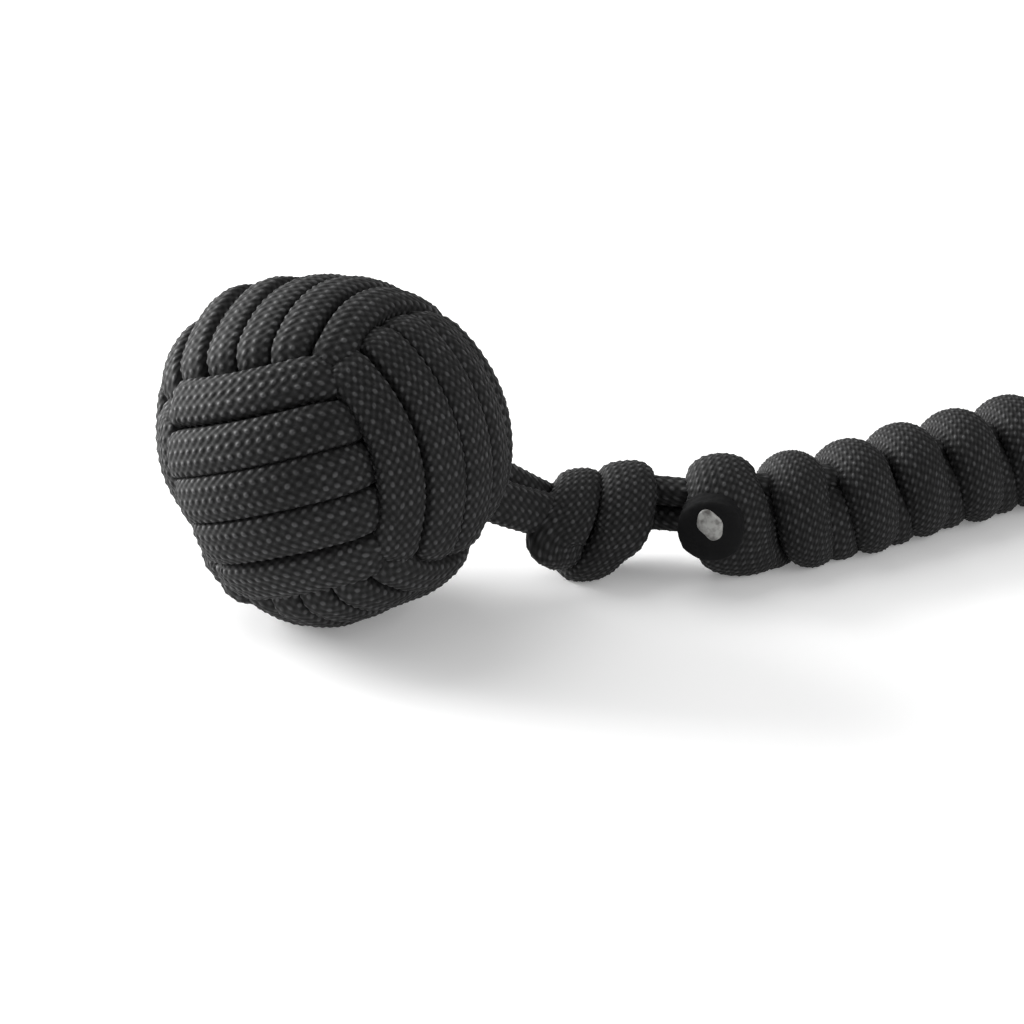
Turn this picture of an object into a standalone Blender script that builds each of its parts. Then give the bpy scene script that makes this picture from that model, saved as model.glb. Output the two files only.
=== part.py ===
"""A monkey's fist: a steel ball wrapped in three sets of cord turns, a stopper knot and a wrapped lanyard.

The lanyard lies along X and the ball at its low end, all resting on the plane z = 0.  Sizes are in
millimetres and are turned into metres where the meshes are made.  The origin is under the middle of
the whole object.
"""

from math import cos, pi, radians, sin, sqrt

import bmesh
import bpy
from mathutils import Matrix, Vector

MM = 0.001

# The cord, a braided sheath over a soft core, that flattens where it is wound
CORD_DIAMETER = 4.0
PIECE_GAP = 0.3
FLAT_DEPTH = CORD_DIAMETER / 10

# The fist: three sets of turns, each over one neighbour and under the other. The set that goes over the
# top has one turn more
STEEL_BALL_DIAMETER = 25.4
FIST_TURNS = 5
FIST_TOP_TURNS = 6
FIST_STRAND_THICKNESS = 2.36
FIST_STRAND_GAP = 0.42
FIST_INNER_CLEARANCE = 0.72
FIST_LAYER_GAP = 0.84
FIST_PANEL_HALF_ANGLE = 42.6
FIST_TILT = (19.8, -4.6, -135.1)
FIST_ASIDE = -3.4

# Where a fist turn goes under its neighbour, in degrees from the middle of its own panel
DIVE_START = 34.0
DIVE_END = 56.0
PINCH_START = 11.7
PINCH_END = 58.7
PINCH_SHARE = 0.71
HIDDEN_WIDTH_SHARE = 0.64
DRIFT_SHARE_OF_TURN = 0.11

# The pair of strands that runs from the fist through the knot and the lanyard
STRAND_DIAMETER = 2.8
STRAND_GAP = 0.3
NECK_SEAT_DEPTH = 0.0
NECK_BEND = 2.6
NECK_SPREAD = 0.45
NECK_STRAIGHT_RUN = 0.8
LINK_STRAIGHT_RUN = 0.5

# The stopper knot, a turned pair that reads as two lobes
KNOT_START = 21.9
KNOT_LENGTH = 15.0
KNOT_OUTER_DIAMETER = 13.2
KNOT_LOBE_WIDTH = 5.6
KNOT_LOBE_GAP = 0.9
KNOT_LOBE_CLEARANCE = 0.3
KNOT_LOBES = 2
KNOT_FIRST_LOBE = 4.2
KNOT_LEAN = 0.9
KNOT_TAIL = 172.5

# The link between the knot and the lanyard, and the lanyard's wrapping
LINK_LENGTH = 3.5
WRAP_OUTER_DIAMETER = 13.4
WRAP_WIDTH = 6.75
WRAP_CLEARANCE = 0.3
WRAP_PITCH = 7.85
WRAP_TURNS = 12
WRAP_FIRST_TURN = 4.4
WRAP_BACK_LEAN = 0.7
WRAP_LEAN_TURN = 30.0
WRAP_TAIL = 172.5
CUT_END_DIAMETER = 4.9
CUT_END_LENGTH = 2.4
CUT_END_TURN = 50.0
CUT_END_PLACE = (0.5, -5.7, 0.3)
MELTED_TIP_DIAMETER = 3.4
MELTED_TIP_LENGTH = 0.7

# How the lanyard is laid: a start a little aside, one gentle bend, and straight from there on
LANYARD_ASIDE = -1.7
LANYARD_FIRST_HEADING = -5.0
LANYARD_LAST_HEADING = 19.0
LANYARD_BEND_START = 6.0
LANYARD_BEND_LENGTH = 13.0

# The plain eye at the far end
EYE_LENGTH = 27.0
EYE_WIDTH = 16.0

# Shares of the eye's length, half width and droop, from the core's end to the tip
EYE_LEG = ((0.0, 0.0, 0.0), (0.14, 0.16, 0.1), (0.4, 0.85, 0.55), (0.68, 1.0, 0.85), (0.92, 0.62, 1.0))
EYE_TIP = ((1.0, 0.0, 1.0),)

# How the windings' ends are tucked in, and how finely things are drawn
TUCK_ANGLE = 80.0
TUCKED_WIDTH_SHARE = 0.65
POINTS_A_LOOP = 24
SECTION_SIDES = 6
CORE_STEP = 4.0

SHEATH = (0.016, 0.016, 0.017, 1.0)
MELTED = (0.42, 0.42, 0.41, 1.0)
STEEL = (0.55, 0.55, 0.56, 1.0)


def clear_scene():
    for old in list(bpy.data.objects):
        bpy.data.objects.remove(old, do_unlink=True)


def material(name, colour, roughness, metallic=0.0):
    made = bpy.data.materials.new(name)
    made.use_nodes = True
    shader = made.node_tree.nodes["Principled BSDF"]
    shader.inputs["Base Color"].default_value = colour
    shader.inputs["Roughness"].default_value = roughness
    shader.inputs["Metallic"].default_value = metallic
    return made


def smooth(share):
    """Rise from 0 to 1 with no corner at either end."""
    share = min(max(share, 0.0), 1.0)
    return share ** 3 * (share * (6 * share - 15) + 10)


def between(low, high, value):
    return smooth((value - low) / (high - low))


# Sections and tubes

def section(width, thickness):
    """Corner places of a flattened cord: (across, outward), with a flat outer face."""
    corners = []
    for side in range(SECTION_SIDES):
        angle = 2 * pi * side / SECTION_SIDES
        across = width / 2 * cos(angle)
        outward = thickness / 2 * sin(angle) / sin(pi / 3)
        corners.append((across, outward))
    return corners


def rings(path, outwards, sections):
    """The corner points of each section along a path, square to the path."""
    made = []
    last = len(path) - 1
    for index, place in enumerate(path):
        ahead = path[min(index + 1, last)] - path[max(index - 1, 0)]
        ahead.normalize()
        outward = outwards[index] - ahead * outwards[index].dot(ahead)
        outward.normalize()
        across = ahead.cross(outward)
        made.append([place + across * a + outward * b for a, b in sections[index]])
    return made


def tube_mesh(name, made_rings):
    """One closed tube through the rings, with flat ends, in metres."""
    mesh = bmesh.new()
    rows = [[mesh.verts.new(point * MM) for point in ring] for ring in made_rings]
    for row, after in zip(rows, rows[1:]):
        for side in range(len(row)):
            other = (side + 1) % len(row)
            mesh.faces.new((row[side], row[other], after[other], after[side]))
    mesh.faces.new(rows[0])
    mesh.faces.new(rows[-1])
    bmesh.ops.recalc_face_normals(mesh, faces=mesh.faces)
    data = bpy.data.meshes.new(name)
    mesh.to_mesh(data)
    mesh.free()
    return data


def cut_below(data, height):
    """Cut a mesh flat along the level plane at a height in its own frame, in metres."""
    mesh = bmesh.new()
    mesh.from_mesh(data)
    everything = mesh.verts[:] + mesh.edges[:] + mesh.faces[:]
    plane = {"plane_co": (0, 0, height), "plane_no": (0, 0, 1)}
    bmesh.ops.bisect_plane(mesh, geom=everything, dist=1e-7, clear_inner=True, **plane)
    open_edges = [edge for edge in mesh.edges if edge.is_boundary]
    bmesh.ops.holes_fill(mesh, edges=open_edges, sides=0)
    bmesh.ops.recalc_face_normals(mesh, faces=mesh.faces)
    mesh.to_mesh(data)
    mesh.free()


def flat_spot(thing):
    """Middle of a thing's largest face on the ground, in millimetres of the layout."""
    bpy.context.view_layer.update()
    best = None
    for face in thing.data.polygons:
        centre = thing.matrix_world @ face.center
        down = abs(centre.z) < 1e-6 and abs(face.normal.z) > 0.99
        if down and (best is None or face.area > best[0]):
            best = (face.area, centre / MM)
    return best


def lowest(made_rings):
    return min(point.z for ring in made_rings for point in ring)


def add(name, data, place, parent, finish, angle=40):
    """Put a mesh or a curve in the scene at a place in millimetres, under its parent."""
    thing = bpy.data.objects.new(name, data)
    bpy.context.scene.collection.objects.link(thing)
    data.materials.append(finish)
    hang(thing, place, parent)
    if isinstance(data, bpy.types.Mesh):
        data.shade_smooth()
        data.set_sharp_from_angle(angle=radians(angle))
    return thing


def hang(thing, place, parent):
    """Place a thing at a point of the layout, under a parent that is placed but not turned."""
    thing.parent = parent
    thing.location = (place - layout_place(parent)) * MM


def layout_place(thing):
    """The point of the layout where a thing stands, in millimetres."""
    place = Vector((0, 0, 0))
    while thing is not None:
        place += thing.location / MM
        thing = thing.parent
    return place


def pivot(name, place, parent):
    made = bpy.data.objects.new(name, None)
    bpy.context.scene.collection.objects.link(made)
    made.empty_display_size = 8 * MM
    hang(made, place, parent)
    return made


def strand(name, points, diameter, place, parent, finish):
    """A round cord along points given from its own place."""
    curve = bpy.data.curves.new(name, "CURVE")
    curve.dimensions = "3D"
    curve.bevel_depth = diameter / 2 * MM
    curve.bevel_resolution = 2
    curve.use_fill_caps = True
    spline = curve.splines.new("POLY")
    spline.points.add(len(points) - 1)
    for spot, point in zip(spline.points, points):
        spot.co = ((point - place) * MM).to_4d()
    return add(name, curve, place, parent, finish)


def bent(start, start_way, end, end_way, count):
    """Points of a smooth bend from one end to the other."""
    points = []
    for index in range(count):
        share = index / (count - 1)
        rest = 1 - share
        middle = 3 * share * rest * rest * (start + start_way)
        later = 3 * share * share * rest * (end - end_way)
        points.append(rest ** 3 * start + middle + later + share ** 3 * end)
    return points


def smooth_route(route, steps):
    """Points of a smooth curve through a route's own points."""
    points = []
    last = len(route) - 1
    for index in range(last):
        before = route[max(index - 1, 0)]
        start = route[index]
        end = route[index + 1]
        after = route[min(index + 2, last)]
        for step in range(steps):
            share = step / steps
            points.append(route_point(before, start, end, after, share))
    points.append(route[-1])
    return points


def route_point(before, start, end, after, share):
    flat = 2 * start
    slope = (end - before) * share
    curve = (2 * before - 5 * start + 4 * end - after) * share ** 2
    twist = (3 * start - before - 3 * end + after) * share ** 3
    return (flat + slope + curve + twist) / 2


def least_gap(made_rings, points_a_loop):
    """Least distance from a winding's corner points to the long edges of its other turns."""
    best = 1e9
    for index, ring in enumerate(made_rings):
        first = index + points_a_loop // 2
        for other in range(first, len(made_rings) - 1):
            if (made_rings[other][0] - ring[0]).length > best + 12:
                continue
            for corner in ring:
                for near, far in zip(made_rings[other], made_rings[other + 1]):
                    best = min(best, distance_to_edge(corner, near, far))
    return best


def distance_to_edge(point, near, far):
    along = far - near
    share = (point - near).dot(along) / along.length_squared
    share = min(max(share, 0.0), 1.0)
    return (point - near - along * share).length


# The fist

FIST_INNER_RADIUS = STEEL_BALL_DIAMETER / 2 + FIST_INNER_CLEARANCE + FIST_STRAND_THICKNESS / 2
FIST_OUTER_RADIUS = FIST_INNER_RADIUS + FIST_STRAND_THICKNESS + FIST_LAYER_GAP
FIST_PANEL_WIDTH = 2 * FIST_OUTER_RADIUS * sin(radians(FIST_PANEL_HALF_ANGLE))
FIST_RADIUS = FIST_OUTER_RADIUS + FIST_STRAND_THICKNESS / 2


def fist_angle(step):
    """Degrees round a turn at a step, with the points drawn closer together where it dives."""
    quarter, share = divmod(step * 4 / POINTS_A_LOOP, 1)
    side = 2 * share - 1
    bend = abs(side) ** 1.6
    if side < 0:
        bend = -bend
    return 90 * quarter + 45 + 45 * bend


def fist_offset(turns_done, turns):
    """Place across a panel of so many turns, in pitches from its middle, after a number of turns."""
    turn = int(turns_done + 0.5)
    drift = turns_done - turn
    crossing = smooth((drift + DRIFT_SHARE_OF_TURN) / (2 * DRIFT_SHARE_OF_TURN))
    return turn - 1 + crossing - (turns - 1) / 2


def fist_rings(turns):
    """One set of turns round Z, on top at the X sides and beneath at the Y sides."""
    full_pitch = FIST_PANEL_WIDTH / turns
    path = []
    outwards = []
    sections = []
    for step in range(turns * POINTS_A_LOOP + 1):
        angle = fist_angle(step) - 90
        from_panel = abs((angle + 90) % 180 - 90)
        level = 1 - between(DIVE_START, DIVE_END, from_panel)
        spread = 1 - between(PINCH_START, PINCH_END, from_panel)
        radius = FIST_INNER_RADIUS + (FIST_OUTER_RADIUS - FIST_INNER_RADIUS) * level
        pitch = full_pitch * (PINCH_SHARE + (1 - PINCH_SHARE) * spread)
        offset = fist_offset((angle + 90) / 360, turns) * pitch
        across = sqrt(radius ** 2 - offset ** 2)
        point = Vector((across * cos(radians(angle)), across * sin(radians(angle)), offset))
        width = (full_pitch - FIST_STRAND_GAP) * (HIDDEN_WIDTH_SHARE + (1 - HIDDEN_WIDTH_SHARE) * spread)
        path.append(point)
        outwards.append(point.normalized())
        sections.append(section(width, FIST_STRAND_THICKNESS))
    return rings(path, outwards, sections)


def fist_turn():
    """The fist's own turn in the world."""
    turn = Matrix.Identity(3)
    for degrees_round, axis in zip(FIST_TILT, "XYZ"):
        turn = Matrix.Rotation(radians(degrees_round), 3, axis) @ turn
    return turn


def fist_sets():
    """The rings of the three sets of turns round the fist's middle."""
    third = Matrix.Rotation(radians(120), 3, Vector((1, 1, 1)))
    sets = []
    turn = fist_turn()
    counts = {"first_turns": FIST_TURNS, "second_turns": FIST_TURNS, "third_turns": FIST_TOP_TURNS}
    for name, turns in counts.items():
        made = fist_rings(turns)
        print("%s: least gap to itself %.2f mm" % (name, least_gap(made, POINTS_A_LOOP)))
        sets.append((name, [[turn @ point for point in ring] for ring in made]))
        turn = turn @ third
    return sets


def steel_ball(centre, parent, finish):
    mesh = bmesh.new()
    bmesh.ops.create_uvsphere(mesh, u_segments=24, v_segments=14, radius=STEEL_BALL_DIAMETER / 2 * MM)
    data = bpy.data.meshes.new("steel_ball")
    mesh.to_mesh(data)
    mesh.free()
    return add("steel_ball", data, centre, parent, finish)


# The windings of the knot and the lanyard

def winding_rings(turns, start_angle, place_along, radius_at, width_at, thickness):
    """A winding round X: place_along gives x for an angle, and angles grow from the start."""
    path = []
    outwards = []
    sections = []
    steps = round(turns * POINTS_A_LOOP)
    for step in range(steps + 1):
        angle = start_angle + 360 * step / POINTS_A_LOOP
        radius = radius_at(360 * step / POINTS_A_LOOP, 360 * (steps - step) / POINTS_A_LOOP)
        width = width_at(360 * step / POINTS_A_LOOP, 360 * (steps - step) / POINTS_A_LOOP)
        outward = Vector((0, cos(radians(angle)), sin(radians(angle))))
        path.append(Vector((place_along(angle), 0, 0)) + outward * radius)
        outwards.append(outward)
        sections.append(section(width, thickness))
    return rings(path, outwards, sections)


def tucked(full, tucked_in, over):
    """A value that eases from tucked_in at either end of a winding to full, over some degrees."""
    def at(from_start, from_end):
        return tucked_in + (full - tucked_in) * smooth(min(from_start, from_end) / over)
    return at


# The lanyard's course

def course(along):
    """Place and way ahead on the lanyard's course, some way along from the core's start."""
    first = radians(LANYARD_FIRST_HEADING)
    last = radians(LANYARD_LAST_HEADING)
    before = min(along, LANYARD_BEND_START)
    bent_way = min(max(along - LANYARD_BEND_START, 0), LANYARD_BEND_LENGTH)
    beyond = max(along - LANYARD_BEND_START - LANYARD_BEND_LENGTH, 0)
    heading = first + (last - first) * bent_way / LANYARD_BEND_LENGTH
    half = (heading - first) / 2
    chord = bent_way * (sin(half) / half if half else 1)
    middle = first + half
    x = before * cos(first) + chord * cos(middle) + beyond * cos(last)
    y = before * sin(first) + chord * sin(middle) + beyond * sin(last)
    return Vector((x, y, 0)), Vector((cos(heading), sin(heading), 0))


def laid(point):
    """Where a point of the straight lanyard, x along from the core's start, lies on its course."""
    place, ahead = course(point.x)
    return place + Vector((-ahead.y, ahead.x, 0)) * point.y + Vector((0, 0, point.z))


STRAND_OFFSET = (STRAND_DIAMETER + STRAND_GAP) / 2
PAIR_HALF_HEIGHT = STRAND_OFFSET + STRAND_DIAMETER / 2


def wound(turns, tail, outer_diameter, clearance, width, along):
    """A winding round the pair of strands, with a tail before its first and after its last crossing."""
    thickness = outer_diameter / 2 - PAIR_HALF_HEIGHT - clearance
    side_radius = STRAND_DIAMETER / 2 + 2 * PIECE_GAP + thickness / 2
    radius_at = tucked(outer_diameter / 2 - thickness / 2, side_radius, TUCK_ANGLE)
    width_at = tucked(width, TUCKED_WIDTH_SHARE * width, TUCK_ANGLE)
    return winding_rings(turns - 1 + 2 * tail / 360, 180 - tail, along, radius_at, width_at, thickness)


def wrap_rings():
    """The lanyard's wrapping from its first front crossing on, the crossings one pitch apart."""
    def along(angle):
        upright = WRAP_BACK_LEAN * sin(radians(angle - 180 - WRAP_LEAN_TURN))
        return WRAP_PITCH * (angle - 180) / 360 - upright

    return wound(WRAP_TURNS, WRAP_TAIL, WRAP_OUTER_DIAMETER, WRAP_CLEARANCE, WRAP_WIDTH, along)


def knot_rings():
    """The knot's lobes from the last front crossing back, wound the other way and leaning."""
    pitch = KNOT_LOBE_WIDTH + KNOT_LOBE_GAP

    def along(angle):
        return pitch * (KNOT_LOBES - 1 - (angle - 180) / 360) + KNOT_LEAN * sin(radians(angle))

    return wound(KNOT_LOBES, KNOT_TAIL, KNOT_OUTER_DIAMETER, KNOT_LOBE_CLEARANCE, KNOT_LOBE_WIDTH, along)


def at_height(made_rings):
    """Height of a winding's axis that sets its flat underside on z = 0."""
    return -lowest(made_rings) - FLAT_DEPTH


def eye_route():
    """The eye's points, from the upper strand round to the lower one, along from its start."""
    side = EYE_WIDTH / 2 - STRAND_DIAMETER / 2
    reach = EYE_LENGTH - STRAND_DIAMETER / 2
    points = []
    for half, legs in ((1, EYE_LEG + EYE_TIP), (-1, tuple(reversed(EYE_LEG)))):
        for share, width, droop in legs:
            points.append((share * reach, width * side * half, half * STRAND_OFFSET * (1 - droop), droop))
    return points


def build():
    clear_scene()
    sheath = material("black_nylon_sheath", SHEATH, 0.75)
    melted = material("melted_nylon", MELTED, 0.45)
    steel = material("bearing_steel", STEEL, 0.25, 1.0)
    ahead = Vector((1, 0, 0))
    rise = Vector((0, 0, 1))

    # Stations along the knot and the lanyard, from the fist's middle
    knot_end = KNOT_START + KNOT_LENGTH
    core_start = knot_end + LINK_LENGTH
    core_length = 2 * WRAP_FIRST_TURN + WRAP_PITCH * (WRAP_TURNS - 1)

    # The windings, and the heights that set their flat undersides on the ground
    sets = fist_sets()
    fist_height = -min(lowest(made) for name, made in sets) - FLAT_DEPTH
    first_crossing = ahead * WRAP_FIRST_TURN
    wraps = [[laid(first_crossing + point) - laid(first_crossing) for point in ring] for ring in wrap_rings()]
    wrap_height = at_height(wraps)
    print("wrapping: least gap to itself %.2f mm" % least_gap(wraps, POINTS_A_LOOP))
    lobes = knot_rings()
    knot_height = at_height(lobes)
    print("knot lobes: least gap to itself %.2f mm" % least_gap(lobes, POINTS_A_LOOP))

    # The eye, from the end of the core down to the ground
    eye_droop = wrap_height - STRAND_DIAMETER / 2 - PIECE_GAP
    eye = []
    for along, aside, lift, droop in eye_route():
        eye.append(laid(Vector((core_length + PIECE_GAP + along, aside, lift - eye_droop * droop))))

    # The middle of everything, which is where the origin goes
    fist_middle = Vector((0, FIST_ASIDE, fist_height))
    lanyard_start = Vector((core_start, LANYARD_ASIDE, wrap_height))
    wrap_start = lanyard_start + laid(first_crossing)
    corners = [fist_middle + point for name, made in sets for ring in made for point in ring]
    corners += [wrap_start + point for ring in wraps for point in ring]
    skin = STRAND_DIAMETER / 2
    corners += [lanyard_start + point + Vector((skin, skin, 0)) for point in eye]
    corners += [lanyard_start + point - Vector((skin, skin, 0)) for point in eye]
    middle_x = (min(point.x for point in corners) + max(point.x for point in corners)) / 2
    middle_y = (min(point.y for point in corners) + max(point.y for point in corners)) / 2
    middle = Vector((middle_x, middle_y, 0))

    fist_centre = fist_middle - middle
    leaving = (fist_turn() @ Vector((-1, 1, -1))).normalized()
    exit_point = fist_centre + leaving * (FIST_RADIUS - NECK_SEAT_DEPTH)
    knot_in = Vector((KNOT_START, 0, knot_height)) - middle
    knot_out = Vector((knot_end, 0, knot_height)) - middle
    core_in = lanyard_start - middle
    core_way = course(0)[1]

    root = pivot("lanyard_frame", Vector((0, 0, 0)), None)
    link_pivot = pivot("link_hinge", (knot_out + core_in) / 2, root)
    neck_pivot = pivot("neck_hinge", (exit_point + knot_in) / 2, link_pivot)

    # The fist
    steel_ball(fist_centre, neck_pivot, steel)
    for name, made in sets:
        data = tube_mesh(name, made)
        cut_below(data, -fist_centre.z * MM)
        add(name, data, fist_centre, neck_pivot, sheath)

    # The knot's lobes and the lanyard's wrapping
    lobe_data = tube_mesh("knot_lobes", lobes)
    cut_below(lobe_data, -knot_height * MM)
    add("knot_lobes", lobe_data, knot_in + ahead * KNOT_FIRST_LOBE, link_pivot, sheath)
    wrap_data = tube_mesh("wrapping_cord", wraps)
    cut_below(wrap_data, -wrap_height * MM)
    add("wrapping_cord", wrap_data, wrap_start - middle, root, sheath)

    # The pair of strands, upper and lower
    neck_rise = (rise - leaving * rise.dot(leaving)).normalized()
    inset = ahead * PIECE_GAP
    core_inset = core_way * PIECE_GAP
    core_steps = round(core_length / CORE_STEP)
    for name, side in (("upper", 1), ("lower", -1)):
        lift = rise * STRAND_OFFSET * side
        neck_start = exit_point + neck_rise * (STRAND_OFFSET + NECK_SPREAD) * side
        neck_end = knot_in + lift - inset
        neck_bend = neck_end - ahead * NECK_STRAIGHT_RUN
        neck = bent(neck_start, leaving * NECK_BEND, neck_bend, ahead * NECK_BEND, 7) + [neck_end]
        strand("neck_strand_" + name, neck, STRAND_DIAMETER, neck_start, neck_pivot, sheath)
        knot = [knot_in + lift, knot_out + lift]
        strand("knot_strand_" + name, knot, STRAND_DIAMETER, knot_in + lift, link_pivot, sheath)
        link_in = knot_out + lift + inset
        link_out = core_in + lift - core_inset
        run = LINK_STRAIGHT_RUN
        link = bent(link_in + ahead * run, ahead * run, link_out - core_way * run, core_way * run, 4)
        link = [link_in] + link + [link_out]
        strand("link_strand_" + name, link, STRAND_DIAMETER, link_in, link_pivot, sheath)
        stations = [core_length * step / core_steps for step in range(core_steps + 1)]
        core = [core_in + lift + laid(ahead * station) for station in stations]
        strand("core_strand_" + name, core, STRAND_DIAMETER, core[0], root, sheath)

    # The working end that shows beside the first turn, and its melted tip
    stub_way = Vector((-cos(radians(CUT_END_TURN)), -sin(radians(CUT_END_TURN)), 0))
    stub_place = core_in + Vector(CUT_END_PLACE)
    stub = [stub_place, stub_place + stub_way * CUT_END_LENGTH]
    strand("cut_end", stub, CUT_END_DIAMETER, stub_place, root, sheath)
    tip_start = stub[1] + stub_way * PIECE_GAP
    tip = [tip_start, tip_start + stub_way * MELTED_TIP_LENGTH]
    strand("melted_tip", tip, MELTED_TIP_DIAMETER, tip_start, root, melted)

    eye = [core_in + point for point in eye]
    strand("eye_loop", smooth_route(eye, 2), STRAND_DIAMETER, eye[0], root, sheath)

    for thing in bpy.data.objects:
        found = flat_spot(thing) if thing.type == "MESH" else None
        if found:
            print("%s rests on %.2f mm2 at %.3f %.3f %.3f mm" % (thing.name, found[0] / MM ** 2, *found[1]))
    for name, place in (("neck hinge", neck_pivot), ("link hinge", link_pivot)):
        spot = layout_place(place)
        print("%s at %.3f %.3f %.3f mm" % (name, spot.x, spot.y, spot.z))
    print("fist centre %.3f %.3f %.3f mm, radius %.2f" % (*fist_centre, FIST_RADIUS))
    pitch = FIST_PANEL_WIDTH / FIST_TURNS
    print("fist strands %.2f mm wide at %.2f mm apart" % (pitch - FIST_STRAND_GAP, pitch))
    print("neck leaves at %.3f %.3f %.3f" % tuple(exit_point))
    opening = core_in + laid(ahead * (core_length + EYE_LENGTH / 2))
    print("eye opens at %.3f %.3f mm" % (opening.x, opening.y))


build()
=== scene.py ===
from math import ceil, copysign, cos, exp, hypot, pi, radians, sin, sqrt

import bpy
from mathutils import Matrix, Vector


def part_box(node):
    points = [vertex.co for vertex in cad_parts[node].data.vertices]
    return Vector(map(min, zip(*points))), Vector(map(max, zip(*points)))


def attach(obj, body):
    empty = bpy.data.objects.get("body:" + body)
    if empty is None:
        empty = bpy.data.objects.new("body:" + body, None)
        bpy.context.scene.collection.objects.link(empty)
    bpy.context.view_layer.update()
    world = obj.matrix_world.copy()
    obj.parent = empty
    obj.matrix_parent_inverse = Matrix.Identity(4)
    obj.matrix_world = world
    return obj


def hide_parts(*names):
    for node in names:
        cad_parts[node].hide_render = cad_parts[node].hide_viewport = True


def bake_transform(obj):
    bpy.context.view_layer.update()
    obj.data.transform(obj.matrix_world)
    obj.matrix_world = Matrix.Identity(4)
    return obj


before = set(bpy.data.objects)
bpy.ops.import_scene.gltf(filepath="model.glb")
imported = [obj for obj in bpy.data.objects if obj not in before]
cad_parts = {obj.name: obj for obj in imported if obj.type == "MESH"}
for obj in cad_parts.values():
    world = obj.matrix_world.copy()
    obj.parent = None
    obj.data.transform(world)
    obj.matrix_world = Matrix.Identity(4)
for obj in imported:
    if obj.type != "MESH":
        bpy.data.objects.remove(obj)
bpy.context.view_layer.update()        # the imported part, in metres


# The camera
# It stands in front of the lanyard, a little towards the ball's end, and looks down across it with a long
# lens, so that what lies further back stays nearly as large. The ball is left of the middle and above it.
MM = 0.001               # sizes and places are in millimetres, and angles in degrees
VIEW_AZIMUTH = -11.7
VIEW_ELEVATION = 22.0
VIEW_DISTANCE = 450.0
VIEW_LENS = 147.4
SENSOR_WIDTH = 36.0
SEEN_FROM = 10.0
SEEN_TO = 10000.0
AIM_RIGHT_OF_BALL = 19.1
AIM_BELOW_BALL = 6.76

low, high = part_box("steel_ball")
fist_centre = (low + high) / 2 / MM
azimuth = radians(VIEW_AZIMUTH)
elevation = radians(VIEW_ELEVATION)
towards_camera = Vector((sin(azimuth) * cos(elevation), -cos(azimuth) * cos(elevation), sin(elevation)))
to_the_right = Vector((cos(azimuth), sin(azimuth), 0))
upwards = towards_camera.cross(to_the_right)
stand = fist_centre + towards_camera * VIEW_DISTANCE
aim = fist_centre + to_the_right * AIM_RIGHT_OF_BALL - upwards * AIM_BELOW_BALL

lens = bpy.data.cameras.new("picture_camera")
lens.lens = VIEW_LENS
lens.sensor_width = SENSOR_WIDTH
lens.clip_start = SEEN_FROM * MM
lens.clip_end = SEEN_TO * MM
camera = bpy.data.objects.new("picture_camera", lens)
bpy.context.scene.collection.objects.link(camera)
camera.location = stand * MM
camera.rotation_mode = "QUATERNION"
camera.rotation_quaternion = (aim - stand).to_track_quat("-Z", "Y")
bpy.context.scene.camera = camera


# The floor and the light
# A sheet of matt white card, large enough to fill the picture. The main soft box stands behind on the left,
# a wide weak one hangs high behind the ball, and another in front on the right lifts the dark side, so the
# shadow is soft and falls forwards and to the right.
CARD_SIZE = 6000
CARD_WHITE = "F4F4F4"
CARD_GLOW = 0.18
ROOM_LIGHT = 0.40
BOX_LIGHTS = (
    # name, place from the ball in mm, size in mm, power in watts
    ("left_box", (-530, 453, 230), 420, 10.9),
    ("back_top_box", (-160, 380, 620), 700, 2.6),
    ("front_right_box", (560, -560, 420), 600, 2.3),
)


def to_linear(hex_colour):
    """The linear colour that Blender wants for an sRGB hex value."""
    linear = []
    for start in (0, 2, 4):
        value = int(hex_colour[start:start + 2], 16) / 255
        linear.append(value / 12.92 if value <= 0.04045 else ((value + 0.055) / 1.055) ** 2.4)
    return (*linear, 1.0)


def add_node(tree, kind, settings=None, **wanted):
    """Add a node, with its settings, and its inputs by name or number as values or as links."""
    made = tree.nodes.new(kind)
    for setting, value in (settings or {}).items():
        setattr(made, setting, value)
    for key, value in wanted.items():
        slot = made.inputs[int(key[1:])] if key[1:].isdigit() else made.inputs[key.replace("_", " ")]
        if isinstance(value, bpy.types.NodeSocket):
            tree.links.new(value, slot)
        else:
            slot.default_value = value
    return made


def new_material(name):
    """An empty material, with the node tree that its nodes go in and its output."""
    made = bpy.data.materials.new(name)
    made.use_nodes = True
    made.node_tree.nodes.clear()
    return made, made.node_tree, made.node_tree.nodes.new("ShaderNodeOutputMaterial")


# Matt white card: it shows the soft shadow, and its glow for the eye and for mirrors makes it as white
# as the picture's background without more light on the cord
white_card, tree, output = new_material("matt_white_card")
rays = add_node(tree, "ShaderNodeLightPath")
eye_or_mirror = add_node(tree, "ShaderNodeMath", {"operation": "MAXIMUM"},
                         _0=rays.outputs["Is Camera Ray"], _1=rays.outputs["Is Glossy Ray"])
seen = add_node(tree, "ShaderNodeMath", {"operation": "MAXIMUM"},
                _0=eye_or_mirror.outputs[0], _1=rays.outputs["Is Transmission Ray"])
glow_strength = add_node(tree, "ShaderNodeMath", {"operation": "MULTIPLY"}, _0=seen.outputs[0], _1=CARD_GLOW)
glow = add_node(tree, "ShaderNodeEmission", Strength=glow_strength.outputs[0])
card = add_node(tree, "ShaderNodeBsdfDiffuse", Color=to_linear(CARD_WHITE))
both = add_node(tree, "ShaderNodeAddShader", _0=glow.outputs[0], _1=card.outputs[0])
tree.links.new(both.outputs[0], output.inputs["Surface"])

bpy.ops.object.select_all(action="DESELECT")
bpy.ops.mesh.primitive_plane_add(size=CARD_SIZE * MM)
floor_card = bpy.context.object
floor_card.name = "floor_card"
floor_card.data.materials.append(white_card)

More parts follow.
